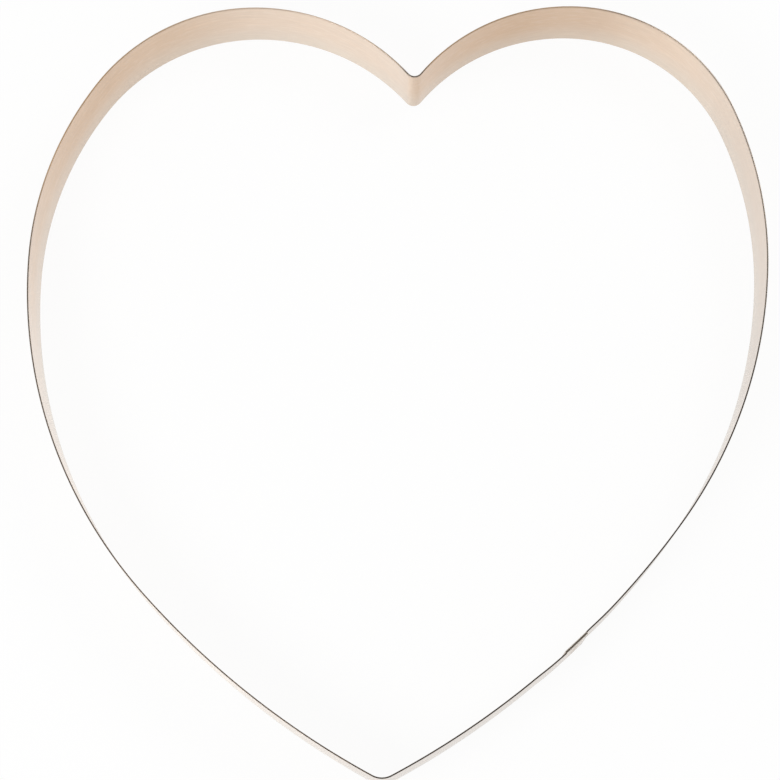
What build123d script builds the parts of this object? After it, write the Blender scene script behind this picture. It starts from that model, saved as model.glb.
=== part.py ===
from build123d import *

import os
from math import acos, atan2, copysign, degrees

# A heart-shaped cookie cutter: one thin strip of sheet metal, bent on edge into a heart. Its two ends
# lap on the right flank, where a column of spot welds joins them.
#
# Millimetres. +Z is up, and the strip stands on its cutting edge at Z 0. +Y runs from the tip to the
# cleft, and +X is on the right as seen from above. The origin is under the middle of the outline.

# Strip
band_height = 19.0
strip_thickness = 0.3

# Heart, measured to the strip's outer face. The length runs from the tip's corner up to the higher crown,
# and a reach runs sideways from the line through tip and cleft. The tip and the cleft have corners there
# before they are bent round.
heart_length = 161.0
left_reach = 76.7
right_reach = 73.5
tip_bend_radius = 4.2
cleft_bend_radius = 1.65

# Outline. Rises are shares of the heart's length, and reaches and radii are shares of the side's reach.
# The strip was bent by hand, so the two sides differ a little.
cleft_rise_share = 0.89

left_crown_rise_share = 0.979
left_crown_reach_share = 0.414
left_lobe_share = 0.525
left_widest_rise_share = 0.633
left_side_share = 1.251
left_side_turn = 44.7

right_crown_rise_share = 1.0
right_crown_reach_share = 0.451
right_lobe_share = 0.4945
right_widest_rise_share = 0.665
right_side_share = 1.309
right_side_turn = 33.7

# Lap. The outer layer comes up from the tip, and the inner layer comes down from the right side. Each steps
# aside by half the depth between them, in one gentle joggle that ends just clear of the other's cut end. The
# radius of a joggle's bends is a share of the flank's, so that it leaves a more curved flank as readily.
lap_from_tip = 44.3
lap_length = 5.8
lap_gap = 0.03
joggle_bend_share = 0.4646
joggle_clearance = 0.3

# Spot welds: nuggets through both layers, under a dimple that the electrodes leave on each side
weld_count = 3
weld_margin = 4.0
nugget_diameter = 2.2
dimple_diameter = 3.2
dimple_depth = 0.08

os.makedirs("parts", exist_ok=True)

tip = Vector((left_reach - right_reach) / 2, -heart_length / 2)
cleft = tip + Vector(0, heart_length * cleft_rise_share)


def side_arcs(sign, reach, crown_reach, crown_rise, lobe_radius, widest_rise, side_radius, side_turn):
    """The arcs of one side, each tangent to its neighbour, from the cleft's corner to the tip's corner.

    The outline lies level at the crown and upright at the widest point. Between the two run the lobe's
    arc and a shoulder arc, whose radius follows from them. The flank closes the side at the tip.
    """
    outwards = Vector(sign, 0)
    crown = tip + Vector(sign * crown_reach, crown_rise)
    widest = tip + Vector(sign * reach, widest_rise)
    across = reach - crown_reach
    down = crown_rise - widest_rise
    shoulder_radius = (across**2 + (down - lobe_radius) ** 2 - lobe_radius**2) / (2 * (across - lobe_radius))
    lobe_centre = crown - Vector(0, lobe_radius)
    shoulder_centre = widest - outwards * shoulder_radius
    meeting = lobe_centre + (lobe_centre - shoulder_centre).normalized() * lobe_radius
    inner_lobe = TangentArc(crown, cleft, tangent=-outwards)
    lobe = TangentArc(crown, meeting, tangent=outwards)
    shoulder = TangentArc(meeting, widest, tangent=lobe % 1)
    side = JernArc(widest, (0, -1), side_radius, -sign * side_turn)
    flank = TangentArc(side @ 1, tip, tangent=side % 1)
    return [inner_lobe, lobe, shoulder, side, flank]


with BuildLine() as outline:
    left_side = side_arcs(
        -1,
        left_reach,
        left_reach * left_crown_reach_share,
        heart_length * left_crown_rise_share,
        left_reach * left_lobe_share,
        heart_length * left_widest_rise_share,
        left_reach * left_side_share,
        left_side_turn,
    )
    right_side = side_arcs(
        1,
        right_reach,
        right_reach * right_crown_reach_share,
        heart_length * right_crown_rise_share,
        right_reach * right_lobe_share,
        heart_length * right_widest_rise_share,
        right_reach * right_side_share,
        right_side_turn,
    )

# The right flank carries the lap. A distance from the tip is measured along its outer face.
flank = right_side[-1]
flank_centre = flank.arc_center
flank_radius = flank.radius
joggle_bend_radius = flank_radius * joggle_bend_share
tip_bearing = degrees(atan2(tip.Y - flank_centre.Y, tip.X - flank_centre.X))


def flank_point(from_tip, depth=0):
    """The point that is this far up the right flank and this deep inside its outer face."""
    bearing = tip_bearing + degrees(from_tip / flank_radius)
    return flank_centre + Vector(flank_radius - depth, 0).rotate(Axis.Z, bearing)


layer_step = (strip_thickness + lap_gap) / 2
outer_end = lap_from_tip + lap_length
outer_cut = flank_point(outer_end, -layer_step)
outer_middle = flank_point(lap_from_tip + lap_length / 2, -layer_step)
inner_cut = flank_point(lap_from_tip, layer_step)


def joggle(layer_start, depth):
    """The points where a joggle leaves the flank, changes from its first bend to its second, and ends.

    It steps inwards by the depth on the upper side of the lap, or outwards on the lower side where the
    depth is negative. Its two bends have one radius, the first towards the layer and the second back.
    Their centres and the flank's centre form a triangle, and its angle at the flank is the joggle's run.
    """
    aside = copysign(joggle_bend_radius, depth)
    first_span = flank_radius - aside
    second_span = flank_radius - depth + aside
    bends_span = 2 * joggle_bend_radius
    run = flank_radius * acos(
        (first_span**2 + second_span**2 - bends_span**2) / (2 * first_span * second_span)
    )
    flank_end = layer_start + copysign(run, depth)
    first_centre = flank_point(flank_end, aside)
    second_centre = flank_point(layer_start, depth - aside)
    return flank_point(flank_end), (first_centre + second_centre) / 2, flank_point(layer_start, depth)


upper_joggle = joggle(outer_end + joggle_clearance, layer_step)
lower_joggle = joggle(lap_from_tip - joggle_clearance, -layer_step)

# The strip's outer face, seen from above, from the outer layer's cut end round to the inner layer's
with BuildLine() as strip_line:
    outer_layer = ThreePointArc(outer_cut, outer_middle, lower_joggle[2])
    outer_bend = TangentArc(outer_layer @ 1, lower_joggle[1], tangent=outer_layer % 1)
    TangentArc(outer_bend @ 1, lower_joggle[0], tangent=outer_bend % 1)
    add(flank.trim(lower_joggle[0], tip))
    add(left_side)
    add(right_side[:-1])
    upper_flank = add(flank.trim(flank @ 0, upper_joggle[0])).edge()
    upper_bend = TangentArc(upper_flank @ 1, upper_joggle[1], tangent=upper_flank % 1)
    inner_bend = TangentArc(upper_bend @ 1, upper_joggle[2], tangent=upper_bend % 1)
    TangentArc(inner_bend @ 1, inner_cut, tangent=inner_bend % 1)
    fillet(strip_line.vertices().sort_by_distance(tip)[0], tip_bend_radius)
    fillet(strip_line.vertices().sort_by_distance(cleft)[0], cleft_bend_radius)

# The welds' column stands at the middle of the lap. The plane lies on the outer layer's face there and
# looks out of the heart, with its X axis up the strip.
seam_depth = 2 * strip_thickness + lap_gap
weld_plane = Plane(
    origin=outer_middle + Vector(0, 0, band_height / 2),
    x_dir=(0, 0, 1),
    z_dir=outer_middle - flank_centre,
)
dimple_ball_radius = ((dimple_diameter / 2) ** 2 + dimple_depth**2) / (2 * dimple_depth)
weld_pitch = (band_height - 2 * weld_margin) / (weld_count - 1)
weld_places = GridLocations(weld_pitch, 0, weld_count, 1)


def press_dimples():
    """Cut every weld's dimple from both sides of the lap: each is a shallow cap of a large ball."""
    outer_ball = dimple_ball_radius - dimple_depth
    inner_ball = -seam_depth - outer_ball
    for ball_height in (outer_ball, inner_ball):
        with Locations(weld_plane.offset(ball_height)):
            with weld_places:
                Sphere(dimple_ball_radius, mode=Mode.SUBTRACT)


# The band: the outer face carried up from its line, with the metal's thickness inside it
outer_face = Shell.extrude(strip_line.wire(), (0, 0, band_height))

with BuildPart() as band:
    thicken(outer_face.faces(), amount=-strip_thickness)
    press_dimples()
    with BuildSketch(weld_plane):
        with weld_places:
            Circle(nugget_diameter / 2)
    extrude(amount=-seam_depth, mode=Mode.SUBTRACT)

# The nuggets fill their holes and reach from dimple to dimple.
with BuildPart() as spot_welds:
    with BuildSketch(weld_plane):
        with weld_places:
            Circle(nugget_diameter / 2)
    extrude(amount=-seam_depth)
    press_dimples()

band.part.label = "band"
spot_welds.part.label = "spot_welds"

export_step(band.part, "parts/band.step")
export_step(spot_welds.part, "parts/spot_welds.step")

print("band solids", len(band.solids()), "bounds", band.part.bounding_box())
print("nuggets", len(spot_welds.solids()), "volume of each", spot_welds.solids()[0].volume)
print("joggle run", (upper_joggle[2] - upper_joggle[0]).length, "strip length", strip_line.wire().length)
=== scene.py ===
"""The looks of a heart-shaped cookie cutter, bent from one pale, copper-plated strip.

Lengths are metres. +Z is up, +Y runs from the heart's tip to its cleft, and +X is on the right as seen
from above. The strip's line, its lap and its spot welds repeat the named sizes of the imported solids, so
each piece stands where its solid stands.
"""

import logging
import math
from dataclasses import dataclass, field
from enum import Enum
from typing import Any

import bpy
import numpy as np
from mathutils import Matrix, Vector


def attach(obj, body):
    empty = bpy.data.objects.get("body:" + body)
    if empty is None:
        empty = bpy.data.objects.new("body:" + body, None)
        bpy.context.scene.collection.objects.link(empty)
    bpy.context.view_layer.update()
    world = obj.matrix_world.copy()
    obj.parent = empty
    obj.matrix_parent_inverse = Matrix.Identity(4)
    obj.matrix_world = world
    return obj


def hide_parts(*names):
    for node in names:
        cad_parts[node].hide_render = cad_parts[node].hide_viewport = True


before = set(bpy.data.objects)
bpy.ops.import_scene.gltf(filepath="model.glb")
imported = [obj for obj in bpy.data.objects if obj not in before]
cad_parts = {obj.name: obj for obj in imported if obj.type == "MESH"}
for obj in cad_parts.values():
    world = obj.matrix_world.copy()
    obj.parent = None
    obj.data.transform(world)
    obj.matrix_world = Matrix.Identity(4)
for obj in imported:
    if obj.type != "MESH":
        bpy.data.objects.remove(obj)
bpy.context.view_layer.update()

MM = 0.001

# The longest steps between two columns of the strip's grid: on the outline, round the bends at tip and cleft,
# on the joggles and on the lap's layers
OUTLINE_STEP, BEND_STEP, JOGGLE_STEP, LAYER_STEP = 1.6 * MM, 0.3 * MM, 0.6 * MM, 0.2 * MM

# Two lengths that differ by less are one.
TOLERANCE = 1e-6 * MM

# Depth of the fine relief on the metal
RELIEF = 0.01 * MM

# Nearly all values of a noise lie in this span.
NOISE_SPAN = (0.3, 0.7)

log = logging.getLogger("cookie_cutter")

Colour = tuple[float, float, float]
Place = tuple[float, float, float]
Span = tuple[float, float]
Socket = bpy.types.NodeSocket


class Turn(Enum):
    """The way an arc turns, seen from above, on a walk round the heart with its inside on the right."""

    CLOCKWISE = -1.0
    ANTICLOCKWISE = 1.0


class Layer(Enum):
    """The two layers of the lap: -1 for the one that steps out of the heart, 1 for the one that steps in."""

    OUTER = -1.0
    INNER = 1.0


# Plane geometry of the strip's line


def unit(vector: np.ndarray) -> np.ndarray:
    """The vector divided by its length."""
    return vector / np.linalg.norm(vector)


def ease(value: np.ndarray, low: float, high: float) -> np.ndarray:
    """Nought below the low bound, one above the high one, and 3 t squared - 2 t cubed of the way t between.

    The bounds may be swapped, and then the value falls from one to nought.
    """
    part = np.clip((value - low) / (high - low), 0, 1)
    return part**2 * (3 - 2 * part)


def fade(distance: np.ndarray, margin: float, softness: float) -> np.ndarray:
    """One inside a margin, nought outside it, and easing over this share of the margin to both sides."""
    return ease(distance, margin * (1 + softness), margin * (1 - softness))


def closing_radius(chord: np.ndarray, normal: np.ndarray) -> float:
    """The radius of the circle that has a normal at one end of a chord and passes through its other end.

    It is the chord's length squared, over twice the chord's run along the normal.

    Args:
        chord: From the far end to the end that has the normal.
        normal: Unit normal there, away from the circle's centre.

    Returns:
        The radius.
    """
    return float(chord @ chord / (2 * chord @ normal))


def circles_meet(
    first: np.ndarray, first_radius: float, second: np.ndarray, second_radius: float, near: np.ndarray
) -> np.ndarray:
    """Where two circles meet, nearest to a point.

    Both meetings lie on the line that crosses the centres' line at right angles. Its foot is (span squared
    + first radius squared - second radius squared) / (2 * span) from the first centre, and Pythagoras gives
    how far the meetings are from that foot.

    Args:
        first: The first circle's centre.
        first_radius: Its radius.
        second: The second circle's centre.
        second_radius: Its radius.
        near: The meeting nearest to this point is taken.

    Returns:
        The meeting.
    """
    span = float(np.linalg.norm(second - first))
    along = unit(second - first)
    across = np.array([-along[1], along[0]])
    foot = (span**2 + first_radius**2 - second_radius**2) / (2 * span)
    reach = math.sqrt(first_radius**2 - foot**2)
    meetings = [first + along * foot + across * reach * side for side in (1, -1)]
    return min(meetings, key=lambda meeting: float(np.linalg.norm(meeting - near)))


@dataclass(frozen=True)
class Arc:
    """One circular run of the strip's outer face, seen from above.

    Attributes:
        centre: The circle's centre.
        start: Where the run starts.
        end: Where it ends.
        turn: The way it turns.
        step: The longest step between two columns of the strip's grid.
    """

    centre: np.ndarray
    start: np.ndarray
    end: np.ndarray
    turn: Turn = Turn.CLOCKWISE
    step: float = OUTLINE_STEP

    @property
    def radius(self) -> float:
        """The circle's radius."""
        return float(np.linalg.norm(self.start - self.centre))

    @property
    def bearing(self) -> float:
        """The bearing of the start from the centre, in radians."""
        x, y = self.start - self.centre
        return math.atan2(y, x)

    @property
    def length(self) -> float:
        """The run's length: the radius times the angle turned."""
        x, y = self.end - self.centre
        swept = (math.atan2(y, x) - self.bearing) * self.turn.value
        return self.radius * (swept % math.tau)


@dataclass(frozen=True)
class HeartSide:
    """One side of the outline, from the cleft's corner to the tip's corner, as a chain of tangent arcs.

    Rises are shares of the heart's length, and reaches and radii are shares of the side's reach.

    Attributes:
        sign: -1 on the left, 1 on the right.
        reach: How far the side reaches sideways from the line through tip and cleft.
        crown_rise_share: Rise of the lobe's highest point.
        crown_reach_share: Reach of that point.
        lobe_share: Radius of the lobe beside its crown.
        widest_rise_share: Rise of the side's widest point.
        side_share: Radius below the widest point.
        side_turn: How far that radius turns, in degrees.
    """

    sign: int
    reach: float
    crown_rise_share: float
    crown_reach_share: float
    lobe_share: float
    widest_rise_share: float
    side_share: float
    side_turn: float

    def arcs(self, tip: np.ndarray, cleft: np.ndarray, length: float) -> list[Arc]:
        """The side's arcs, from the cleft to the tip on the right and from the tip to the cleft on the left.

        The outline lies level at the crown and upright at the widest point. The shoulder between the lobe's
        arc and the widest point is tangent to both: with the run across and the drop less the lobe's radius,
        its radius is (across squared + drop squared - lobe squared) / (2 * (across - lobe)).

        Args:
            tip: The tip's corner.
            cleft: The cleft's corner.
            length: The heart's length.

        Returns:
            Five arcs in the order in which the heart is walked.
        """
        outwards = np.array([float(self.sign), 0.0])
        upwards = np.array([0.0, 1.0])
        crown_reach, crown_rise = self.reach * self.crown_reach_share, length * self.crown_rise_share
        crown = tip + outwards * crown_reach + upwards * crown_rise
        widest = tip + outwards * self.reach + upwards * length * self.widest_rise_share
        lobe = self.reach * self.lobe_share
        across = self.reach * (1 - self.crown_reach_share)
        drop = length * (self.crown_rise_share - self.widest_rise_share) - lobe
        shoulder = (across**2 + drop**2 - lobe**2) / (2 * (across - lobe))

        lobe_centre = crown - upwards * lobe
        shoulder_centre = widest - outwards * shoulder
        meeting = lobe_centre + unit(lobe_centre - shoulder_centre) * lobe
        side_centre = widest - outwards * self.reach * self.side_share
        turned = math.radians(self.side_turn)
        side_normal = np.array([self.sign * math.cos(turned), -math.sin(turned)])
        side_end = side_centre + side_normal * self.reach * self.side_share
        flank_centre = side_end - side_normal * closing_radius(side_end - tip, side_normal)
        inner_centre = crown - upwards * closing_radius(crown - cleft, upwards)

        stations = [cleft, crown, meeting, widest, side_end, tip]
        centres = [inner_centre, lobe_centre, shoulder_centre, side_centre, flank_centre]
        if self.sign < 0:
            stations, centres = stations[::-1], centres[::-1]
        return [Arc(centre, stations[i], stations[i + 1]) for i, centre in enumerate(centres)]


def bend_between(before: Arc, after: Arc, radius: float, turn: Turn) -> tuple[Arc, Arc, Arc]:
    """Round the corner between two arcs with a bend that is tangent to both.

    The bend's centre lies one bend radius inside both circles where it turns as they do, and one bend radius
    outside them where it turns the other way. It touches each circle in line with that circle's centre.

    Args:
        before: The arc that ends at the corner.
        after: The arc that starts there.
        radius: The bend's radius.
        turn: The way the bend turns.

    Returns:
        The first arc cut short, the bend, and the second arc cut short.
    """
    aside = radius * turn.value
    centre = circles_meet(
        before.centre, before.radius + aside, after.centre, after.radius + aside, before.end
    )
    start = before.centre + unit(centre - before.centre) * before.radius
    end = after.centre + unit(centre - after.centre) * after.radius
    return (
        Arc(before.centre, before.start, start, step=before.step),
        Arc(centre, start, end, turn, step=BEND_STEP),
        Arc(after.centre, end, after.end, step=after.step),
    )


@dataclass(frozen=True)
class Lap:
    """Where the strip's two ends pass each other on the right flank. Distances run along its outer face.

    Attributes:
        from_tip: From the tip's corner to the inner layer's cut end.
        length: How far the layers lie on each other.
        gap: Between the layers.
        joggle_radius: Radius of the two bends by which each layer steps aside.
        joggle_clearance: From a layer's cut end to the other layer's joggle.
        weld_count: Spot welds in the lap's column.
        weld_margin: From the strip's edges to the outermost welds.
        nugget_radius: Of the fused metal.
        dimple_radius: Of the electrodes' marks.
        dimple_depth: Of those marks.
    """

    from_tip: float = 44.3 * MM
    length: float = 5.8 * MM
    gap: float = 0.03 * MM
    joggle_radius: float = 80.0 * MM
    joggle_clearance: float = 0.3 * MM
    weld_count: int = 3
    weld_margin: float = 4.0 * MM
    nugget_radius: float = 1.1 * MM
    dimple_radius: float = 1.6 * MM
    dimple_depth: float = 0.08 * MM

    def weld_heights(self, band_height: float) -> np.ndarray:
        """Heights of the welds, evenly spread between the margins."""
        return np.linspace(self.weld_margin, band_height - self.weld_margin, self.weld_count)

    def dimple(self, radius: np.ndarray) -> np.ndarray:
        """Depth of an electrode's mark at a distance from the weld's axis.

        The mark is a cap of a ball, whose radius is (mark radius squared + depth squared) / (2 * depth). The
        depth is the ball's height there less its height at the mark's rim, and nought outside the rim.

        Args:
            radius: The distance.

        Returns:
            The depth.
        """
        ball = (self.dimple_radius**2 + self.dimple_depth**2) / (2 * self.dimple_depth)
        height = np.sqrt(np.maximum(ball**2 - radius**2, 0)) - (ball - self.dimple_depth)
        return np.maximum(height, 0)


@dataclass(frozen=True)
class StripLine:
    """The line of the strip's outer face, seen from above, from one cut end round the heart to the other.

    Attributes:
        arcs: The tangent arcs in order.
    """

    arcs: list[Arc]

    @property
    def starts(self) -> np.ndarray:
        """The distance along the line at which each arc starts, and the line's length at the end."""
        return np.concatenate([[0.0], np.cumsum([arc.length for arc in self.arcs])])

    @property
    def length(self) -> float:
        """The line's whole length."""
        return float(self.starts[-1])

    def at(self, distance: np.ndarray) -> tuple[np.ndarray, np.ndarray]:
        """Points and outward normals at distances along the line.

        Each distance falls on one arc. The bearing from its centre is the start's bearing plus, with the
        turn's sign, the distance run on that arc over its radius. The point is the centre plus the radius
        along the bearing, and the outward normal is that direction, reversed on an anticlockwise arc.

        Args:
            distance: Distances from the first cut end.

        Returns:
            The points and the unit normals, one row for each distance.
        """
        starts = self.starts
        which = np.clip(np.searchsorted(starts, distance, side="right") - 1, 0, len(self.arcs) - 1)
        centre = np.array([arc.centre for arc in self.arcs])[which]
        radius = np.array([arc.radius for arc in self.arcs])[which]
        turn = np.array([arc.turn.value for arc in self.arcs])[which]
        bearing = np.array([arc.bearing for arc in self.arcs])[which]
        bearing = bearing + turn * (distance - starts[which]) / radius
        direction = np.stack([np.cos(bearing), np.sin(bearing)], axis=1)
        return centre + direction * radius[:, None], -direction * turn[:, None]

    def columns(self, corner_radius: float, corner_steps: int) -> np.ndarray:
        """Distances at which the strip's grid has a column: even steps on each arc, and the rounded ends.

        Args:
            corner_radius: Rounding of the strip's cut ends.
            corner_steps: Steps in that rounding.

        Returns:
            Growing distances from nought to the line's length.
        """
        starts = self.starts
        runs = [
            np.linspace(start, start + arc.length, max(math.ceil(arc.length / arc.step), 2) + 1)[1:-1]
            for arc, start in zip(self.arcs, starts)
        ]
        rounding = corner_radius * (1 - np.cos(np.linspace(0, math.pi / 2, corner_steps + 1)))
        inner = np.concatenate([*runs, starts[1:-1]])
        from_end = np.minimum(inner, self.length - inner)
        clear = inner[from_end > 1.5 * corner_radius]
        return np.sort(np.concatenate([clear, rounding, self.length - rounding]))


@dataclass(frozen=True)
class Heart:
    """The cutter's plan: the outline's two sides, the bends at tip and cleft, and the lap.

    Attributes:
        band_height: Height of the strip, which stands on its cutting edge.
        thickness: Of the strip.
        length: From the tip's corner up to the higher crown.
        cleft_rise_share: Rise of the cleft's corner, as a share of the length.
        tip_bend_radius: Outer radius of the bend at the tip.
        cleft_bend_radius: Radius of the bend at the cleft, on the heart's outside.
        left: The left side.
        right: The right side.
        lap: The lap on the right flank.
    """

    band_height: float = 19.0 * MM
    thickness: float = 0.3 * MM
    length: float = 161.0 * MM
    cleft_rise_share: float = 0.89
    tip_bend_radius: float = 4.2 * MM
    cleft_bend_radius: float = 1.65 * MM
    left: HeartSide = HeartSide(
        sign=-1, reach=76.7 * MM, crown_rise_share=0.979, crown_reach_share=0.414, lobe_share=0.525,
        widest_rise_share=0.633, side_share=1.251, side_turn=44.7,
    )
    right: HeartSide = HeartSide(
        sign=1, reach=73.5 * MM, crown_rise_share=1.0, crown_reach_share=0.451, lobe_share=0.4945,
        widest_rise_share=0.665, side_share=1.309, side_turn=33.7,
    )
    lap: Lap = Lap()

    @property
    def tip(self) -> np.ndarray:
        """The tip's corner. The outline's middle is over the origin."""
        return np.array([(self.left.reach - self.right.reach) / 2, -self.length / 2])

    @property
    def cleft(self) -> np.ndarray:
        """The cleft's corner."""
        return self.tip + np.array([0.0, self.length * self.cleft_rise_share])

    @property
    def layer_step(self) -> float:
        """How far each layer of the lap steps aside: half the depth between their outer faces."""
        return (self.thickness + self.lap.gap) / 2

    @property
    def flank(self) -> Arc:
        """The right flank, which carries the lap."""
        return self.side_arcs(self.right)[-1]

    def side_arcs(self, side: HeartSide) -> list[Arc]:
        """One side's arcs in the order in which the heart is walked."""
        return side.arcs(self.tip, self.cleft, self.length)

    def flank_point(self, from_tip: float, depth: float = 0.0) -> np.ndarray:
        """A point on the right flank, at the bearing where the run from the tip over the radius puts it.

        Args:
            from_tip: Distance from the tip's corner, along the outer face.
            depth: Distance inside that face.

        Returns:
            The point.
        """
        flank = self.flank
        x, y = self.tip - flank.centre
        bearing = math.atan2(y, x) + from_tip / flank.radius
        return flank.centre + np.array([math.cos(bearing), math.sin(bearing)]) * (flank.radius - depth)

    @property
    def weld_foot(self) -> np.ndarray:
        """Where the welds' column crosses the outer layer's face, seen from above."""
        return self.flank_point(self.lap.from_tip + self.lap.length / 2, -self.layer_step)

    def layer_run(self, layer: Layer) -> list[Arc]:
        """One layer of the lap and the joggle between it and the flank, in the order the heart is walked.

        The joggle is two bends of one radius, one onto the layer and one onto the flank. Their centres and
        the flank's centre form a triangle with known sides, and the law of cosines gives its angle at the
        flank's centre, which is the joggle's run.

        Args:
            layer: The layer.

        Returns:
            The layer's arc, the bend beside it and the bend beside the flank, or the same from the flank.
        """
        lap, flank, side = self.lap, self.flank, layer.value
        ends = [lap.from_tip + lap.length, lap.from_tip]
        own_end, other_end = ends if layer is Layer.OUTER else ends[::-1]
        depth, aside = self.layer_step * side, lap.joggle_radius * side
        flank_span, layer_span = flank.radius - aside, flank.radius - depth + aside
        bends_span = 2 * lap.joggle_radius
        cosine = (flank_span**2 + layer_span**2 - bends_span**2) / (2 * flank_span * layer_span)
        layer_end = other_end + lap.joggle_clearance * side
        flank_end = layer_end + flank.radius * math.acos(cosine) * side

        layer_centre = self.flank_point(layer_end, depth - aside)
        flank_centre = self.flank_point(flank_end, aside)
        stations = [
            self.flank_point(own_end, depth),
            self.flank_point(layer_end, depth),
            (layer_centre + flank_centre) / 2,
            self.flank_point(flank_end),
        ]
        runs = [
            (flank.centre, Turn.CLOCKWISE, LAYER_STEP),
            (layer_centre, Turn(side), JOGGLE_STEP),
            (flank_centre, Turn(-side), JOGGLE_STEP),
        ]
        if layer is Layer.INNER:
            stations, runs = stations[::-1], runs[::-1]
        return [
            Arc(centre, stations[i], stations[i + 1], turn, step)
            for i, (centre, turn, step) in enumerate(runs)
        ]

    def strip_line(self) -> StripLine:
        """The line of the strip's outer face.

        It starts at the outer layer's cut end, joggles onto the flank, runs down to the tip and round the
        heart, comes down the right flank and joggles inwards to the inner layer's cut end.

        Returns:
            The line.
        """
        outer, inner = self.layer_run(Layer.OUTER), self.layer_run(Layer.INNER)
        left, right = self.side_arcs(self.left), self.side_arcs(self.right)
        lower_flank, tip_bend, left[0] = bend_between(
            Arc(self.flank.centre, outer[-1].end, self.tip), left[0], self.tip_bend_radius, Turn.CLOCKWISE
        )
        left[-1], cleft_bend, right[0] = bend_between(
            left[-1], right[0], self.cleft_bend_radius, Turn.ANTICLOCKWISE
        )
        upper_flank = Arc(self.flank.centre, self.flank.start, inner[0].start)
        return StripLine(
            [*outer, lower_flank, tip_bend, *left, cleft_bend, *right[:-1], upper_flank, *inner]
        )


@dataclass(frozen=True)
class Drift:
    """A number that drifts along the strip.

    Attributes:
        stops: Pairs of a share of the strip's length and the number there, in order.
    """

    stops: tuple[tuple[float, float], ...]

    def at(self, share: np.ndarray) -> np.ndarray:
        """The number at shares of the strip's length: it eases from each stop to the next one.

        Args:
            share: Shares of the length.

        Returns:
            A number for each.
        """
        places, numbers = np.array(self.stops).T
        left = np.clip(np.searchsorted(places, share, side="right") - 1, 0, len(places) - 2)
        part = ease(share, places[left], places[left + 1])
        return numbers[left] + (numbers[left + 1] - numbers[left]) * part


# Node sheets


class NodeSheet:
    """Adds the nodes of one material or world and wires them."""

    def __init__(self, tree: bpy.types.NodeTree) -> None:
        """Empty the tree."""
        self.tree = tree
        tree.nodes.clear()

    def add(self, kind: str, sockets: dict[Any, Any] | None = None, **settings: Any) -> bpy.types.Node:
        """Add a node.

        Args:
            kind: The node's Blender type, without ShaderNode.
            sockets: Input name or index to a socket to link or a value to set.
            **settings: The node's own properties.

        Returns:
            The node.
        """
        node = self.tree.nodes.new("ShaderNode" + kind)
        for name, value in settings.items():
            setattr(node, name, value)
        for name, value in (sockets or {}).items():
            if isinstance(value, Socket):
                self.tree.links.new(value, node.inputs[name])
            else:
                node.inputs[name].default_value = value
        return node

    def mix(self, share: Any, low: Any, high: Any, blend: str = "MIX") -> Socket:
        """Mix two colours. A share is a number or a socket, and a colour is a triple or a socket.

        Args:
            share: How much of the second colour is in the mixture.
            low: The first colour.
            high: The second colour.
            blend: The way they blend.

        Returns:
            The mixture.
        """
        low, high = (c if isinstance(c, Socket) else (*c, 1.0) for c in (low, high))
        node = self.add("Mix", {0: share, 6: low, 7: high}, data_type="RGBA", blend_type=blend)
        return node.outputs[2]

    def math(self, operation: str, first: Any, second: Any, clamp: bool = False) -> Socket:
        """One step of arithmetic on numbers or sockets."""
        node = self.add("Math", {0: first, 1: second}, operation=operation, use_clamp=clamp)
        return node.outputs[0]

    def line(self, value: Socket, slope: float, start: float = 0.0) -> Socket:
        """The slope times a value, plus the start."""
        return self.add("Math", {0: value, 1: slope, 2: start}, operation="MULTIPLY_ADD").outputs[0]

    def spread(self, value: Socket, source: Span, target: Span = (0.0, 1.0)) -> Socket:
        """Carry a value smoothly from one range to another, held at the target's ends."""
        sockets = {0: value, 1: source[0], 2: source[1], 3: target[0], 4: target[1]}
        return self.add("MapRange", sockets, interpolation_type="SMOOTHSTEP").outputs[0]

    def noise(self, vector: Socket, stretch: Place, detail: float = 2.0) -> Socket:
        """Noise whose features are one over the stretch long on each axis of the vector.

        Args:
            vector: Where the noise is read.
            stretch: Features in a unit of each axis.
            detail: How many finer layers lie over it.

        Returns:
            The noise.
        """
        placed = self.add("Mapping", {"Vector": vector, "Scale": stretch}).outputs[0]
        sockets = {"Vector": placed, "Scale": 1.0, "Detail": detail, "Roughness": 0.55}
        return self.add("TexNoise", sockets).outputs["Fac"]

    def whole(self, kind: str, value: Socket) -> None:
        """Wire the last shader to the sheet's output, of a material or a world."""
        self.add("Output" + kind, {0: value})

    def metal(self, colour: Socket, roughness: Socket, relief: Socket, height: float, **more: Any) -> None:
        """Wire up bare metal.

        Args:
            colour: Its colour.
            roughness: Its roughness.
            relief: Fine relief.
            height: How strongly the relief shows.
            **more: Further inputs of the shader, with an underscore for each space.
        """
        bump = self.add("Bump", {"Strength": height, "Distance": RELIEF, "Height": relief}).outputs[0]
        sockets = {"Base Color": colour, "Metallic": 1.0, "Roughness": roughness, "Normal": bump}
        sockets |= {name.replace("_", " "): value for name, value in more.items()}
        self.whole("Material", self.add("BsdfPrincipled", sockets).outputs[0])

    def attribute(self, name: str) -> Socket:
        """A number that the mesh carries at each point."""
        return self.add("Attribute", attribute_name=name).outputs["Fac"]

    def by_ray(self, light: Any, gloss: Any, direct: Any) -> Socket:
        """Choose a number by the kind of ray that asks for it.

        Args:
            light: For the rays that carry light between surfaces.
            gloss: For reflections.
            direct: For the camera, also through glass.

        Returns:
            The number.
        """
        path = self.add("LightPath").outputs
        inner = self.add("Mix", {0: path["Is Glossy Ray"], 2: light, 3: gloss}, data_type="FLOAT").outputs[0]
        seen = self.math("MAXIMUM", path["Is Camera Ray"], path["Is Transmission Ray"])
        return self.add("Mix", {0: seen, 2: inner, 3: direct}, data_type="FLOAT").outputs[0]


def new_object(name: str, data: bpy.types.ID) -> bpy.types.Object:
    """Make an object and link it to the scene.

    Args:
        name: The object's name.
        data: Its mesh, light or camera.

    Returns:
        The object, at the origin.
    """
    piece = bpy.data.objects.new(name, data)
    bpy.context.scene.collection.objects.link(piece)
    return piece


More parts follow.
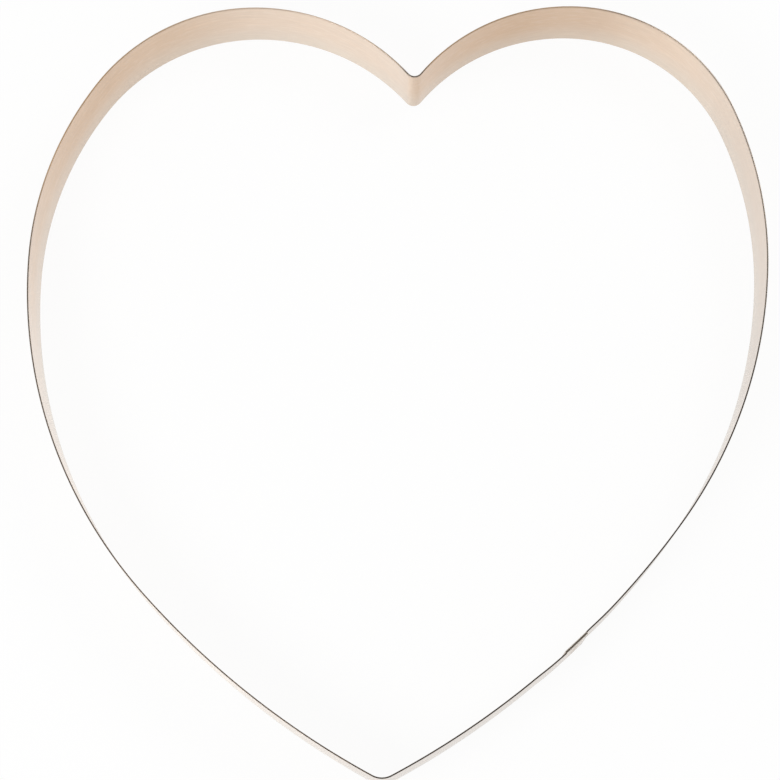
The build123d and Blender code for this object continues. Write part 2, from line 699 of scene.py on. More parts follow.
def new_material(name: str) -> tuple[bpy.types.Material, NodeSheet]:
    """Make a node material with nothing in it yet.

    Args:
        name: The material's name.

    Returns:
        The material and its sheet.
    """
    material = bpy.data.materials.new(name)
    material.use_nodes = True
    return material, NodeSheet(material.node_tree)


# Finishes


@dataclass(frozen=True)
class PlatedCopper:
    """Satin copper plating on rolled strip, with the bare steel of its sheared edges.

    The strip's UV map runs along the strip and round its section, both in shares of the strip's length, so
    one scale turns it into millimetres.

    Attributes:
        deep: The plating's colour where it is thick, and where painted shade deepens the walls' reflection.
        pale: Where the plating is thinner, and where a painted brighter reflection pales the walls.
        dim_reflection_colour: Darker copper that paints a dimmer reflection on the faces.
        foot_sheen: Paler, greyer colour that paints a brighter reflection near the cutting edge.
        bare: The sheared steel.
        ground: The ground edges of the lap.
        browning_and_shade: Brown colour of the streaks on the bare steel, and of a band along the rim that
            paints shade there.
        straw: The first tint of a weld's heat.
        blued: The last tint, next to the weld.
        roughness: Of the plating.
        rolling: How strongly the rolled grain stretches reflections across itself.
        lacquer: Share of the surface under clear lacquer.
        lacquer_roughness: Of the lacquer.
        grain: How much the rolled grain changes the colour.
        bare_roughness: Of the sheared steel.
        ground_roughness: Of the ground edges.
        foot_sheen_rise: How far up the strip the painted pale reflection reaches, as a share of its height.
        foot_sheen_share: How strong that painted reflection is at the cutting edge.
        browning_and_shade_rise: Where the brown band of painted shade along the rim starts, as a share of the
            strip's height.
        straw_heat: The heat at which the first tint starts and ends growing.
        blued_heat: The same for the last tint.
        cloud_stretch: The clouds' features in a millimetre along the strip and up it.
        mottle_stretch: The same for the fine blotches.
        grain_stretch: The same for the rolled grain.
        hairline_stretch: The same for the finest lines in it.
    """

    deep: Colour = (0.64, 0.39, 0.19)
    pale: Colour = (0.905, 0.735, 0.585)
    dim_reflection_colour: Colour = (0.51, 0.375, 0.262)
    foot_sheen: Colour = (0.76, 0.725, 0.65)
    bare: Colour = (0.21, 0.19, 0.165)
    ground: Colour = (0.80, 0.77, 0.72)
    browning_and_shade: Colour = (0.36, 0.26, 0.19)
    straw: Colour = (0.52, 0.33, 0.14)
    blued: Colour = (0.20, 0.17, 0.20)
    roughness: float = 0.36
    rolling: float = 0.85
    lacquer: float = 1.0
    lacquer_roughness: float = 0.12
    grain: float = 0.10
    bare_roughness: float = 0.18
    ground_roughness: float = 0.81
    foot_sheen_rise: float = 0.6
    foot_sheen_share: float = 0.4
    browning_and_shade_rise: float = 0.95
    straw_heat: Span = (0.10, 0.55)
    blued_heat: Span = (0.50, 0.95)
    cloud_stretch: Place = (0.022, 0.05, 1.0)
    mottle_stretch: Place = (0.35, 0.9, 1.0)
    grain_stretch: Place = (0.09, 8.0, 1.0)
    hairline_stretch: Place = (0.35, 26.0, 1.0)

    def plating(
        self, sheet: NodeSheet, strip: Socket, rise: Socket, mottle: Socket, grain: Socket
    ) -> Socket:
        """The plating's colour.

        It runs from deep to pale with the plating's thickness and with painted reflection: paler where a wall
        would mirror brighter surroundings, deeper where it would mirror shade. Over that lie a painted dimmer
        reflection, mostly down the right flank, a painted paler reflection near the cutting edge, the streaks
        of the rolled grain, a brown band with painted shade along the rim where the edges are darkened, and
        the tints of the welds' heat.

        Args:
            sheet: The material's sheet.
            strip: Place on the strip in millimetres.
            rise: Height as a share of the strip's.
            mottle: Fine blotches.
            grain: The rolled grain.

        Returns:
            The colour.
        """
        clouds = sheet.spread(sheet.noise(strip, self.cloud_stretch), NOISE_SPAN, (-0.08, 0.08))
        mottled = sheet.spread(mottle, (0.42, 0.75), (-0.04, 0.12))
        # Plating tone with painted reflection: paler where a wall would mirror brighter surroundings, deeper
        # where it would mirror shade.
        paleness_and_reflection = sheet.math("ADD", sheet.attribute("plating_and_reflection_tone"), clouds)
        colour = sheet.mix(sheet.math("ADD", paleness_and_reflection, mottled, clamp=True), self.deep, self.pale)

        # Painted dimmer reflection: darker copper on the faces, strongest down the right flank beside the
        # lap.
        painted_dim_reflection = sheet.math("ADD", sheet.attribute("painted_dim_reflection"), clouds, clamp=True)
        colour = sheet.mix(painted_dim_reflection, colour, self.dim_reflection_colour)
        # Painted reflection: the walls turn paler and greyer towards the cutting edge.
        foot_sheen = sheet.spread(rise, (0.0, self.foot_sheen_rise), (self.foot_sheen_share, 0.0))
        colour = sheet.mix(foot_sheen, colour, self.foot_sheen)

        streak = sheet.spread(grain, NOISE_SPAN, (1 - self.grain, 1 + self.grain / 3))
        streaks = sheet.add("CombineColor", {0: streak, 1: streak, 2: streak}).outputs[0]
        colour = sheet.mix(1.0, colour, streaks, "MULTIPLY")
        # Painted shade: a brown band along the rim, strongest where the rim's drift is darkest.
        highest = sheet.spread(rise, (self.browning_and_shade_rise, 1.0))
        rim_browning_and_shade = sheet.math("MULTIPLY", highest, sheet.line(sheet.attribute("rim_wear_and_shade"), 0.6, 0.1))
        colour = sheet.mix(rim_browning_and_shade, colour, self.browning_and_shade)

        heat = sheet.attribute("weld_heat")
        colour = sheet.mix(sheet.spread(heat, self.straw_heat, (0.0, 0.65)), colour, self.straw)
        return sheet.mix(sheet.spread(heat, self.blued_heat, (0.0, 0.70)), colour, self.blued)

    def bareness(self, sheet: NodeSheet, mottle: Socket) -> Socket:
        """How bare the steel is: on the sheared edges, as far as they are worn and as far as painted shade
        darkens them, with a ragged border.

        Args:
            sheet: The material's sheet.
            mottle: Fine blotches.

        Returns:
            A number from 0 to 1.
        """
        ragged = sheet.math("ADD", sheet.attribute("bare_steel_and_cut_shadow"), sheet.line(mottle, 0.5, -0.25))
        bare = sheet.spread(ragged, (0.35, 0.70))
        # Worn edges, with painted shade on the rim where the drift darkens it.
        return sheet.math("MULTIPLY", bare, sheet.attribute("rim_wear_and_shade"))

    def build(self, strip_length: float, band_height: float) -> bpy.types.Material:
        """Make the material.

        Args:
            strip_length: Along the strip, from cut end to cut end.
            band_height: Of the strip.

        Returns:
            The material.
        """
        material, sheet = new_material("satin_copper_plate")
        in_mm = strip_length / MM
        uv = sheet.add("UVMap", uv_map="strip").outputs[0]
        strip = sheet.add("Mapping", {"Vector": uv, "Scale": (in_mm, in_mm, 1.0)}).outputs[0]
        place = sheet.add("TexCoord").outputs["Object"]
        rise = sheet.line(sheet.add("SeparateXYZ", {0: place}).outputs["Z"], 1 / band_height)

        mottle = sheet.noise(strip, self.mottle_stretch, detail=4.0)
        grain = sheet.noise(strip, self.grain_stretch, detail=3.0)
        hairline = sheet.noise(strip, self.hairline_stretch)

        # The bare share also carries painted shade on the rim and painted shadow beside the cut ends.
        bare, ground = self.bareness(sheet, mottle), sheet.attribute("ground_edge")
        steel = sheet.mix(sheet.spread(hairline, NOISE_SPAN, (0.0, 0.5)), self.bare, self.browning_and_shade)
        colour = sheet.mix(bare, self.plating(sheet, strip, rise, mottle, grain), steel)
        colour = sheet.mix(ground, colour, self.ground)

        roughness = sheet.line(grain, 0.10, self.roughness - 0.05)
        roughness = sheet.math("ADD", roughness, sheet.line(bare, self.bare_roughness - self.roughness))
        rougher = sheet.line(ground, self.ground_roughness - self.roughness)
        roughness = sheet.math("ADD", roughness, rougher, clamp=True)
        relief = sheet.math("ADD", grain, sheet.math("MULTIPLY", hairline, 0.6))
        sheet.metal(
            colour,
            roughness,
            relief,
            height=0.25,
            Tangent=sheet.add("Tangent", direction_type="UV_MAP", uv_map="strip").outputs[0],
            Anisotropic=self.rolling,
            Anisotropic_Rotation=0.25,
            Coat_Weight=sheet.spread(bare, (0.0, 1.0), (self.lacquer, 0.0)),
            Coat_Roughness=self.lacquer_roughness,
            Coat_IOR=1.5,
        )
        return material


@dataclass(frozen=True)
class FusedSteel:
    """A spot weld's face: grey where the electrode pressed, and straw and blue rings from the heat round it.

    Attributes:
        pressed: Under the electrode.
        straw: The inner ring.
        blued: The outer ring.
        roughness: Of the face.
        grain: Features of its grain in a metre.
    """

    pressed: Colour = (0.50, 0.42, 0.36)
    straw: Colour = (0.46, 0.30, 0.16)
    blued: Colour = (0.18, 0.16, 0.19)
    roughness: float = 0.42
    grain: float = 6000.0

    def build(self) -> bpy.types.Material:
        """Make the material.

        Returns:
            The material.
        """
        material, sheet = new_material("fused_steel")
        place = sheet.add("TexCoord").outputs["Object"]
        grain = sheet.noise(place, (self.grain,) * 3, detail=4.0)
        outwards = sheet.math("ADD", sheet.attribute("from_axis"), sheet.line(grain, 0.24, -0.12))
        colour = sheet.mix(sheet.spread(outwards, (0.45, 0.75)), self.pressed, self.straw)
        colour = sheet.mix(sheet.spread(outwards, (0.78, 1.0)), colour, self.blued)
        roughness = sheet.line(grain, 0.25, self.roughness - 0.12)
        sheet.metal(colour, roughness, grain, height=0.4)
        return material


# Meshes


@dataclass
class Grid:
    """A surface on a grid of two parameters, ready for a mesh.

    Attributes:
        points: Corner positions, one row each.
        quads: Indices of the corners of each face, four in a row.
        uv: A UV pair for each corner of each quad.
        numbers: Named numbers at the points.
        caps: Further faces, each a list of points.
    """

    points: np.ndarray
    quads: np.ndarray
    uv: np.ndarray
    numbers: dict[str, np.ndarray] = field(default_factory=dict)
    caps: list[list[int]] = field(default_factory=list)

    def to_object(self, name: str, uv_name: str) -> bpy.types.Object:
        """Make the mesh object at the origin, with its place in its mesh.

        Args:
            name: The object's and mesh's name.
            uv_name: The UV map's name.

        Returns:
            The object, linked to the scene.
        """
        mesh = bpy.data.meshes.new(name)
        mesh.from_pydata(self.points.tolist(), [], self.quads.tolist() + self.caps)
        layer = mesh.uv_layers.new(name=uv_name)
        uv = np.zeros((len(mesh.loops), 2), np.float32)
        uv[: self.uv.size // 2] = self.uv.reshape(-1, 2)
        layer.data.foreach_set("uv", uv.ravel())
        for title, values in self.numbers.items():
            attribute = mesh.attributes.new(title, "FLOAT", "POINT")
            attribute.data.foreach_set("value", values.astype(np.float32).ravel())
        mesh.polygons.foreach_set("use_smooth", np.ones(len(mesh.polygons), bool))
        mesh.validate()
        mesh.update()
        return new_object(name, mesh)


def ring_faces(along: np.ndarray, around: np.ndarray) -> tuple[np.ndarray, np.ndarray]:
    """Quads between neighbouring rings of points, each ring closed on itself, and their UV pairs.

    Point j of column i has the number i times the ring's points, plus j. A quad takes j and j + 1 on one
    column and the same two on the next, in the order that turns its face away from the ring's middle.

    Args:
        along: U of each column.
        around: V of each point of a ring, and of its first point again after a whole turn.

    Returns:
        Four indices for each quad, and a pair for each of its corners.
    """
    ring = len(around) - 1
    column, here = np.meshgrid(np.arange(len(along) - 1), np.arange(ring), indexing="ij")
    corners = [(column + i, here + j) for i, j in ((0, 0), (0, 1), (1, 1), (1, 0))]
    quads = [i * ring + j % ring for i, j in corners]
    pairs = [np.stack([along[i], around[j]], axis=-1) for i, j in corners]
    return np.stack(quads, axis=-1).reshape(-1, 4), np.stack(pairs, axis=2).reshape(-1, 4, 2)


def end_caps(columns: int, ring: int, first: int = 0) -> list[list[int]]:
    """The faces that close the first and the last ring, of rings whose points start at this number."""
    last = first + (columns - 1) * ring
    return [list(range(first, first + ring))[::-1], list(range(last, last + ring))]


def stand_for(piece: bpy.types.Object, node: str) -> bpy.types.Object:
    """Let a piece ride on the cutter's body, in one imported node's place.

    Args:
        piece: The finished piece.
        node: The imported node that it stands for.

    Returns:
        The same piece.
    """
    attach(piece, "root")
    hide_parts(node)
    return piece


# Sub-assemblies


@dataclass
class PlatedBand:
    """The strip, standing on its cutting edge, with its lap and its electrodes' marks.

    Attributes:
        heart: The cutter's plan.
        finish: The plating.
        corner_radius: Rounding of the sheared edges.
        corner_steps: Steps in that rounding.
        rim_steps: Steps between the two corners of an edge.
        row_step: Between rows of the grid away from the welds.
        fine_step: Between rows over the welds.
        edge_step: From a rounded corner to the first row beside it.
        heat_reach: How far a weld's heat has coloured the plating.
        cut_shadow_margin: How wide the bare band beside the cut ends is, where the plating flaked off and
            painted shadow darkens the wall.
        joint_margin: Half the width of the dark joint between the lap's two edges.
        joint_wear: How much of the plating smear has worn off along that joint, from 0 to 1.
        plating_and_reflection_tone: How pale the plating is, from 0 to 1. This also paints the walls'
            reflection: paler where they should
        mirror brighter surroundings, deeper where they should mirror shade. It is deep on the near side of
        both lobes, and pale down the flanks and at the cleft.
        painted_dim_reflection: How strongly the painted dimmer reflection lies on the faces, from 0 to 1. It
            is strongest beside the lap.
        rim_wear_and_shade: How much of the edges' own plating smear has worn off, from 0 to 1. Along the
            strip it also paints shade on
        the rim: darker round the tip, up the sides and at the cleft, lighter over both lobes.
    """

    heart: Heart
    finish: PlatedCopper = PlatedCopper()
    corner_radius: float = 0.04 * MM
    corner_steps: int = 4
    rim_steps: int = 5
    row_step: float = 0.8 * MM
    fine_step: float = 0.2 * MM
    edge_step: float = 0.05 * MM
    heat_reach: float = 2.4 * MM
    cut_shadow_margin: float = 0.35 * MM
    joint_margin: float = 0.17 * MM
    joint_wear: float = 0.9
    plating_and_reflection_tone: Drift = Drift(
        (
            (0.0, 0.8), (0.10, 1.0), (0.31, 1.0), (0.37, 0.37), (0.445, 0.16), (0.475, 0.33), (0.53, 0.9),
            (0.589, 0.88), (0.597, 0.08), (0.64, 0.15), (0.67, 0.45), (0.70, 0.75), (0.74, 0.86),
            (0.85, 0.9), (1.0, 0.8),
        )
    )
    painted_dim_reflection: Drift = Drift(
        (
            (0.0, 1.0), (0.10, 1.0), (0.14, 0.75), (0.18, 0.45), (0.25, 0.0), (0.30, 0.25), (0.36, 0.10),
            (0.42, 0.0), (0.73, 0.0), (0.79, 0.2), (0.87, 0.65), (0.93, 1.0), (1.0, 1.0),
        )
    )
    rim_wear_and_shade: Drift = Drift(
        (
            (0.0, 1.0), (0.36, 0.9), (0.41, 0.1), (0.50, 0.1), (0.565, 0.2), (0.584, 0.35), (0.592, 0.9),
            (0.605, 0.2), (0.66, 0.15), (0.70, 0.6), (0.74, 1.0), (1.0, 1.0),
        )
    )

    def face_rows(self) -> np.ndarray:
        """Heights of the grid's rows on a face: close together over the welds and next to the edges.

        Returns:
            The heights, from the lower edge up.
        """
        low, high = self.corner_radius, self.heart.band_height - self.corner_radius
        welds = self.heart.lap.weld_heights(self.heart.band_height)
        zone = self.heart.lap.dimple_radius + self.fine_step
        fine = welds[:, None] + np.linspace(-zone, zone, round(2 * zone / self.fine_step) + 1)[None, :]
        coarse = np.linspace(low, high, round((high - low) / self.row_step) + 1)
        far = np.all(np.abs(coarse[:, None] - welds[None, :]) > zone + self.fine_step, axis=1)
        beside = np.array([low + self.edge_step, high - self.edge_step])
        return np.sort(np.concatenate([coarse[far], fine.ravel(), beside]))

    def section(self) -> dict[str, np.ndarray]:
        """The strip's section as one closed ring, which starts at the foot of the outer face.

        The ring climbs the outer face, crosses the upper edge, comes down the inner face and crosses the
        lower edge. A rounded corner is a quarter circle about a point one corner radius inside both faces,
        and even steps lie between the two corners of an edge.

        Returns:
            For each point its depth inside the outer face, height, bareness and distance round the ring,
            which ends with the ring's whole girth.
        """
        radius, depth, height = self.corner_radius, self.heart.thickness, self.heart.band_height
        rows = self.face_rows()
        angle = np.linspace(0, math.pi / 2, self.corner_steps + 1)[1:]
        sine, cosine = np.sin(angle), np.cos(angle)
        flat = np.zeros_like(rows)
        between = np.linspace(radius, depth - radius, self.rim_steps + 1)[1:-1]
        across = np.concatenate([radius * (1 - cosine), between, depth - radius * (1 - cosine[::-1])])
        level = np.zeros_like(between)
        below = np.concatenate([radius * (1 - sine), level, radius * (1 - sine[::-1])])
        bare = np.ones_like(across)
        depths = np.concatenate([flat, across, flat + depth, across[::-1]])
        heights = np.concatenate([rows, height - below, rows[::-1], below])
        steps = np.hypot(np.diff(depths, append=depths[0]), np.diff(heights, append=heights[0]))
        return {
            "depth": depths,
            "height": heights,
            "bare": np.concatenate([flat, bare, flat, bare]),
            "girth": np.concatenate([[0.0], np.cumsum(steps)]),
        }

    def from_weld(self, plan: np.ndarray, height: np.ndarray) -> np.ndarray:
        """Distance of points from the nearest weld's axis.

        The axis looks out of the heart, so the distance is the root of the squared run along the flank's
        tangent and the squared difference in height.

        Args:
            plan: Points seen from above.
            height: Their heights.

        Returns:
            A distance for each point.
        """
        lap = self.heart.lap
        foot = self.heart.weld_foot
        outwards = unit(foot - self.heart.flank.centre)
        tangent = np.array([-outwards[1], outwards[0]])
        along = (plan - foot) @ tangent
        welds = lap.weld_heights(self.heart.band_height)
        rise = np.min(np.abs(height[..., None] - welds), axis=-1)
        return np.hypot(along, rise)

    def edge_state(
        self, run: np.ndarray, length: float, ring: dict[str, np.ndarray]
    ) -> dict[str, np.ndarray]:
        """How far the plating smeared over the edges has worn off, with painted shade on the rim, and where
        the edges were ground.

        The wear drifts along the strip, and the painted shade with it: the rim is darker round the tip, up
        the sides and at the cleft, lighter over both lobes. In the lap the worn steel is only a dark line
        along the joint of the two edges. It eases out at the joint margin from the face that lies on the
        other layer, and the rest of both edges was ground matt.

        Args:
            run: Distance of each column along the strip.
            length: The strip's length.
            ring: The section.

        Returns:
            Two named numbers from 0 to 1 for each point.
        """
        edge = ring["bare"][None, :] > 0
        lap = self.heart.lap.length
        outer, inner = (run < lap)[:, None], (run > length - lap)[:, None]
        lapped = edge & (outer | inner)
        from_joint = np.where(outer, self.heart.thickness - ring["depth"], ring["depth"])
        joint = fade(from_joint, self.joint_margin, softness=0.4)
        # Edge wear with painted shade: the rim darker round the tip, up the sides and at the cleft, lighter
        # over both lobes.
        worn = np.broadcast_to(self.rim_wear_and_shade.at(run / length)[:, None], lapped.shape)
        return {
            "rim_wear_and_shade": np.where(lapped, self.joint_wear * joint, worn),
            "ground_edge": np.where(lapped, 1 - joint, 0.0),
        }

    def surface(self) -> Grid:
        """The strip's surface: the section's ring carried along the strip's line.

        A point is the line's point, less the outward normal times the ring's depth there, at the ring's
        height. At the cut ends the ring shrinks about its middle by the rounding's inset, which is the
        corner radius times (1 - sine) of the angle whose (1 - cosine) is the run from the end over that
        radius. On the two faces that the electrodes pressed, the dimple's depth moves a point into the
        metal.

        Returns:
            The closed surface.
        """
        heart, ring = self.heart, self.section()
        line = heart.strip_line()
        run = line.columns(self.corner_radius, self.corner_steps)
        plan, normal = line.at(run)
        share = run / line.length
        from_end = np.minimum(run, line.length - run)
        turned = np.arccos(1 - np.clip(from_end / self.corner_radius, 0, 1))
        inset = (self.corner_radius * (1 - np.sin(turned)))[:, None]

        middle, halfway = heart.thickness / 2, heart.band_height / 2
        depth = middle + (ring["depth"] - middle)[None, :] * (1 - inset / middle)
        height = halfway + (ring["height"] - halfway)[None, :] * (1 - inset / halfway)
        flat_plan = plan[:, None, :] - normal[:, None, :] * depth[:, :, None]
        distance = self.from_weld(flat_plan, height)

        reach = 2 * heart.lap.length
        layer_one, layer_two = run < reach, run > line.length - reach
        outer_face = ring["depth"] < TOLERANCE
        inner_face = ring["depth"] > heart.thickness - TOLERANCE
        pressed = heart.lap.dimple(distance)
        depth = depth + pressed * (layer_one[:, None] & outer_face[None, :])
        depth = depth - pressed * (layer_two[:, None] & inner_face[None, :])
        plan = plan[:, None, :] - normal[:, None, :] * depth[:, :, None]

        # Bare band beside the cut ends: flaked plating, with painted shadow beside each end.
        flaked_and_shadowed = fade(from_end, self.cut_shadow_margin, softness=0.3)[:, None]
        bare = np.maximum(ring["bare"][None, :], flaked_and_shadowed)
        # Plating tone with painted reflection along the strip: paler where the walls should look brighter,
        # deeper where they should look dimmer.
        thin = np.broadcast_to(self.plating_and_reflection_tone.at(share)[:, None], depth.shape)
        # Painted dimmer reflection on the faces, strongest beside the lap.
        painted_dim_reflection = self.painted_dim_reflection.at(share)[:, None] * (1 - ring["bare"])[None, :]
        heat = np.exp(-((distance / self.heat_reach) ** 2)) * (layer_one | layer_two)[:, None]
        quads, uv = ring_faces(share, ring["girth"] / line.length)
        return Grid(
            points=np.concatenate([plan, height[:, :, None]], axis=2).reshape(-1, 3),
            quads=quads,
            uv=uv,
            numbers={
                "bare_steel_and_cut_shadow": bare,
                "plating_and_reflection_tone": thin,
                "painted_dim_reflection": painted_dim_reflection,
                "weld_heat": heat,
                **self.edge_state(run, line.length, ring),
            },
            caps=end_caps(*depth.shape),
        )

    def build(self) -> bpy.types.Object:
        """Build and dress the strip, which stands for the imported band.

        Returns:
            The strip.
        """
        piece = self.surface().to_object("plated_band", "strip")
        length = self.heart.strip_line().length
        piece.data.materials.append(self.finish.build(length, self.heart.band_height))
        return stand_for(piece, "band")


@dataclass
class SpotWelds:
    """The welds' faces in the lap: fused buttons that fill the electrodes' marks on both sides.

    Attributes:
        heart: The cutter's plan.
        finish: The fused steel.
        crown: How far a button's middle stands above its mark.
        groove: Depth of the ring groove that the electrode's rim leaves, as a share of the crown.
        groove_place: The groove's radius, as a share of the nugget's.
        groove_width: Its half width, as a share of the same.
        hub: Radius of a face's innermost ring of points, as a share of the nugget's.
        rings: Rings of points on a face.
        sectors: Points in each ring.
    """

    heart: Heart
    finish: FusedSteel = FusedSteel()
    crown: float = 0.02 * MM
    groove: float = 0.35
    groove_place: float = 0.7
    groove_width: float = 0.07
    hub: float = 0.004
    rings: int = 12
    sectors: int = 48

    def profile(self) -> tuple[np.ndarray, np.ndarray]:
        """A button's outline from the outer face's middle, through the lap, to the inner face's middle.

        On the outer face it follows the electrode's mark, raised by the crown times (1 - share to the fourth)
        less a shallow ring groove, where the share is the radius over the nugget's. The inner face mirrors
        it about the middle of the lap.

        Returns:
            The radius and the distance inside the outer layer's face, for each point.
        """
        lap = self.heart.lap
        share = np.linspace(self.hub, 1.0, self.rings)
        groove = self.groove * np.exp(-(((share - self.groove_place) / self.groove_width) ** 2))
        inside = lap.dimple(share * lap.nugget_radius) - self.crown * (1 - share**4 - groove)
        seam = 2 * self.heart.thickness + lap.gap
        radius = np.concatenate([share, share[::-1]]) * lap.nugget_radius
        return radius, np.concatenate([inside, seam - inside[::-1]])

    def surface(self) -> Grid:
        """The three buttons: the profile turned about each weld's axis.

        A point is the axis' foot at the weld's height, less the outward normal times the distance inside,
        plus the radius times the tangent's cosine and the upward sine of the sector's angle.

        Returns:
            The closed surfaces.
        """
        heart, lap = self.heart, self.heart.lap
        radius, inside = self.profile()
        foot = heart.weld_foot
        outwards = np.append(unit(foot - heart.flank.centre), 0.0)
        upwards = np.array([0.0, 0.0, 1.0])
        tangent = np.cross(outwards, upwards)
        angle = np.arange(self.sectors) * math.tau / self.sectors
        spokes = np.cos(angle)[:, None] * tangent + np.sin(angle)[:, None] * upwards
        button = radius[:, None, None] * spokes[None, :, :] - inside[:, None, None] * outwards
        heights = lap.weld_heights(heart.band_height)
        axes = np.append(foot, 0.0) + heights[:, None] * upwards
        points = axes[:, None, None, :] + button[None, :, :, :]

        one, uv = ring_faces(np.linspace(0, 1, len(radius)), np.linspace(0, 1, self.sectors + 1))
        first = np.arange(len(heights)) * len(radius) * self.sectors
        from_axis = np.broadcast_to((radius / lap.nugget_radius)[None, :, None], points.shape[:3])
        return Grid(
            points=points.reshape(-1, 3),
            quads=(one[None, :, :] + first[:, None, None]).reshape(-1, 4),
            uv=np.tile(uv, (len(heights), 1, 1)),
            numbers={"from_axis": from_axis},
            caps=[cap for number in first for cap in end_caps(len(radius), self.sectors, int(number))],
        )

    def build(self) -> bpy.types.Object:
        """Build and dress the buttons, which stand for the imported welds.

        Returns:
            The buttons, as one object.
        """
        piece = self.surface().to_object("weld_buttons", "button")
        piece.data.materials.append(self.finish.build())
        return stand_for(piece, "spot_welds")


# Studio


@dataclass(frozen=True)
class SoftLight:
    """A square studio light that looks at the cutter.

    Attributes:
        name: The light's name.
        place: Where it hangs.
        width: Its side.
        power: In watts.
    """

    name: str
    place: Place
    width: float
    power: float

    def build(self) -> bpy.types.Object:
        """Hang the light and turn it to the cutter.

        Returns:
            The light.
        """
        lamp = bpy.data.lights.new(self.name, "AREA")
        lamp.shape = "SQUARE"
        lamp.size = self.width
        lamp.energy = self.power
        piece = new_object(self.name, lamp)
        piece.location = self.place
        piece.rotation_euler = (-Vector(self.place)).to_track_quat("-Z", "Y").to_euler()
        return piece


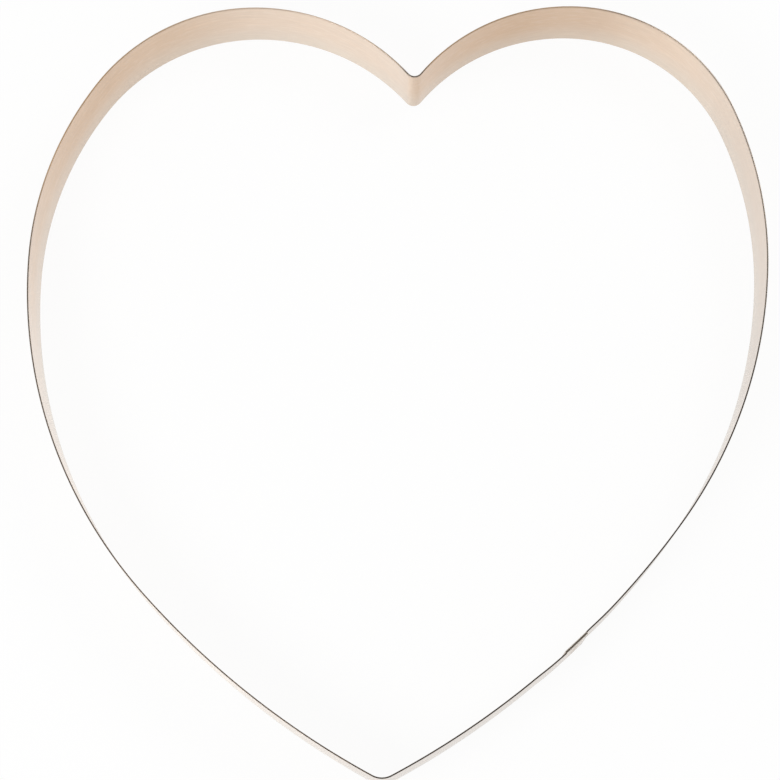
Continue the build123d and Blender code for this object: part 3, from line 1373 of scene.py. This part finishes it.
@dataclass
class Studio:
    """A pale floor under soft lights.

    Attributes:
        floor_width: Side of the floor.
        floor_drop: How far the floor lies under the cutting edge, so that the two don't share a plane.
        floor_colour: The floor's own colour.
        fibre: Fibres in a metre of the board.
        fibre_shade: How dark the board is between them, as a share of its colour.
        white_out: Distances at which the floor starts and ends turning into the white background.
        glow: How much of the floor is plain white to the camera.
        gloss_glow: How much of it is plain white in reflections.
        ambient: Strength of the light from all round.
        dim_patch: Where the air overhead is dim in reflections, as a dark camera and ceiling are.
        dim_strength: Of that patch.
        dim_angles: From the patch's middle to where it starts and stops growing lighter, in degrees.
        lights: The lights.
    """

    floor_width: float = 6.0
    floor_drop: float = 0.02 * MM
    floor_colour: Colour = (0.90, 0.90, 0.895)
    fibre: float = 900.0
    fibre_shade: float = 0.985
    white_out: Span = (0.15, 1.2)
    glow: float = 0.92
    gloss_glow: float = 0.58
    ambient: float = 0.56
    dim_patch: Place = (0.06, 0.11, 1.0)
    dim_strength: float = 0.10
    dim_angles: Span = (8.0, 22.0)
    lights: tuple[SoftLight, ...] = (
        SoftLight("key_light", (-0.31, -0.31, 0.52), 0.30, 1.8),
        SoftLight("back_light", (0.31, 0.31, 0.52), 0.30, 1.2),
    )

    def floor_material(self) -> bpy.types.Material:
        """Pale board that keeps the cutter's shadow, with plain white mixed in for the camera and for gloss.

        The white's share grows to one with the distance from the cutter, so the floor ends in the
        background.

        Returns:
            The material.
        """
        material, sheet = new_material("pale_board")
        place = sheet.add("TexCoord").outputs["Object"]
        fibre = sheet.noise(place, (self.fibre,) * 3, detail=3.0)
        between = tuple(self.fibre_shade * c for c in self.floor_colour)
        colour = sheet.mix(fibre, between, self.floor_colour)
        board = sheet.add("BsdfDiffuse", {"Color": colour}).outputs[0]
        white = sheet.add("Emission", {"Color": (1.0, 1.0, 1.0, 1.0), "Strength": 1.0}).outputs[0]
        distance = sheet.add("VectorMath", {0: place}, operation="LENGTH").outputs["Value"]
        far = sheet.spread(distance, self.white_out)
        near, wide = sheet.by_ray(0.0, self.gloss_glow, self.glow), sheet.by_ray(0.0, 1.0, 1.0)
        share = sheet.add("Mix", {0: far, 2: near, 3: wide}, data_type="FLOAT").outputs[0]
        mixed = sheet.add("MixShader", {0: share, 1: board, 2: white}).outputs[0]
        sheet.whole("Material", mixed)
        return material

    def floor(self) -> bpy.types.Object:
        """Lay the floor: one flat square about the origin.

        Returns:
            The floor.
        """
        corners = np.array([(0.0, 0.0), (1.0, 0.0), (1.0, 1.0), (0.0, 1.0)])
        points = np.column_stack([(corners - 0.5) * self.floor_width, np.full(4, -self.floor_drop)])
        piece = Grid(points, np.arange(4)[None, :], corners[None, :, :]).to_object("floor", "board")
        piece.data.materials.append(self.floor_material())
        return piece

    def world(self) -> None:
        """Soft light from all round, which the camera and gloss see as plain white."""
        world = bpy.data.worlds.new("studio")
        world.use_nodes = True
        bpy.context.scene.world = world
        sheet = NodeSheet(world.node_tree)
        direction = sheet.add("TexCoord").outputs["Generated"]
        patch = tuple(Vector(self.dim_patch).normalized())
        facing = sheet.add("VectorMath", {0: direction, 1: patch}, operation="DOT_PRODUCT").outputs["Value"]
        inner, outer = (math.cos(math.radians(angle)) for angle in self.dim_angles)
        overhead = sheet.spread(facing, (outer, inner), (1.0, self.dim_strength))
        strength = sheet.by_ray(self.ambient, overhead, 1.0)
        air = sheet.add("Background", {"Color": (1.0, 1.0, 1.0, 1.0), "Strength": strength}).outputs[0]
        sheet.whole("World", air)

    def build(self) -> list[bpy.types.Object]:
        """Lay the floor, fill the world with light and hang the lights."""
        self.world()
        return [self.floor(), *(light.build() for light in self.lights)]


@dataclass(frozen=True)
class Viewpoint:
    """The camera: where it hangs and how it is turned.

    Attributes:
        place: Where it hangs.
        tilt: From straight down towards the cleft, in degrees.
        heading: Turn about the upright axis, in degrees.
        roll: Turn about its own axis, in degrees.
        lens: Focal length in millimetres.
        sensor: Width of the sensor in millimetres.
        nearest: Where the camera starts to see.
    """

    place: Place = (0.00308, -0.11100, 0.53397)
    tilt: float = 11.899
    heading: float = 1.863
    roll: float = 0.830
    lens: float = 120.92
    sensor: float = 36.0
    nearest: float = 0.01

    def build(self) -> bpy.types.Object:
        """Make the scene's camera: it rolls about its own axis, tilts, and turns about the upright axis.

        Returns:
            The camera.
        """
        camera = bpy.data.cameras.new("camera")
        camera.sensor_width = self.sensor
        camera.lens = self.lens
        camera.clip_start = self.nearest
        piece = new_object("camera", camera)
        turned = (
            Matrix.Rotation(math.radians(self.heading), 4, "Z")
            @ Matrix.Rotation(math.radians(self.tilt), 4, "X")
            @ Matrix.Rotation(math.radians(self.roll), 4, "Z")
        )
        piece.matrix_world = Matrix.Translation(self.place) @ turned
        bpy.context.scene.camera = piece
        return piece


def main() -> None:
    """Build the camera, the cutter's pieces and the studio, in that order."""
    logging.basicConfig(level=logging.INFO, format="%(name)s: %(message)s")
    bpy.context.scene.view_settings.view_transform = "Standard"
    Viewpoint().build()
    heart = Heart()
    for maker in (PlatedBand(heart), SpotWelds(heart)):
        piece = maker.build()
        log.info("%s: %d points, %d faces", piece.name, len(piece.data.vertices), len(piece.data.polygons))
    for piece in Studio().build():
        log.info("%s in place", piece.name)


if __name__ == "__main__":
    main()
